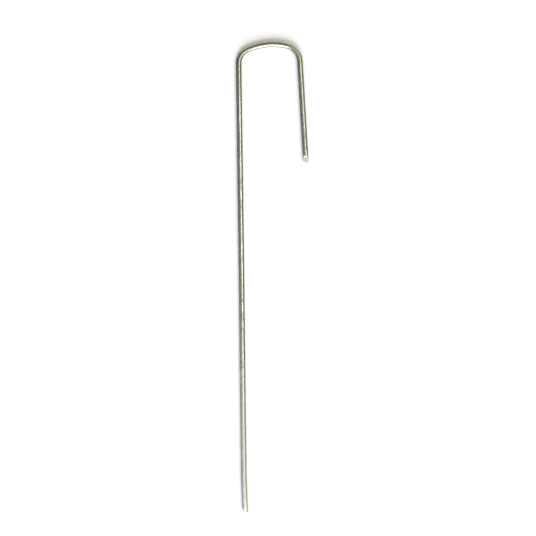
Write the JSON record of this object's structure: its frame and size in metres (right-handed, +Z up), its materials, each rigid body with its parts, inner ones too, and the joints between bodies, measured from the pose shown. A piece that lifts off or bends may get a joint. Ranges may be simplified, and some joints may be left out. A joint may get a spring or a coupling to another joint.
{
  "type": "tent stake",
  "caption": "Bent wire stake with a long straight shank, a flattened crook and a short return leg that hooks over a loop or grommet.",
  "frame": {"origin": "on the shank's axis at the lower end of its full-round wall, where the sheared point begins; the point reaches 1.7 mm below it", "axes": "+Z up the shank to the crook, +X from the shank to the return leg, Y across the flat of the stake"},
  "size_m": [0.0385, 0.003, 0.254],
  "materials": {
    "galvanised_wire": "zinc-coated drawn steel wire, softly glossy and slightly warm grey, with bare grey steel on the two sheared ends"
  },
  "bodies": {
    "root": {"stake_wire": "galvanised_wire"}
  },
  "joints": []
}
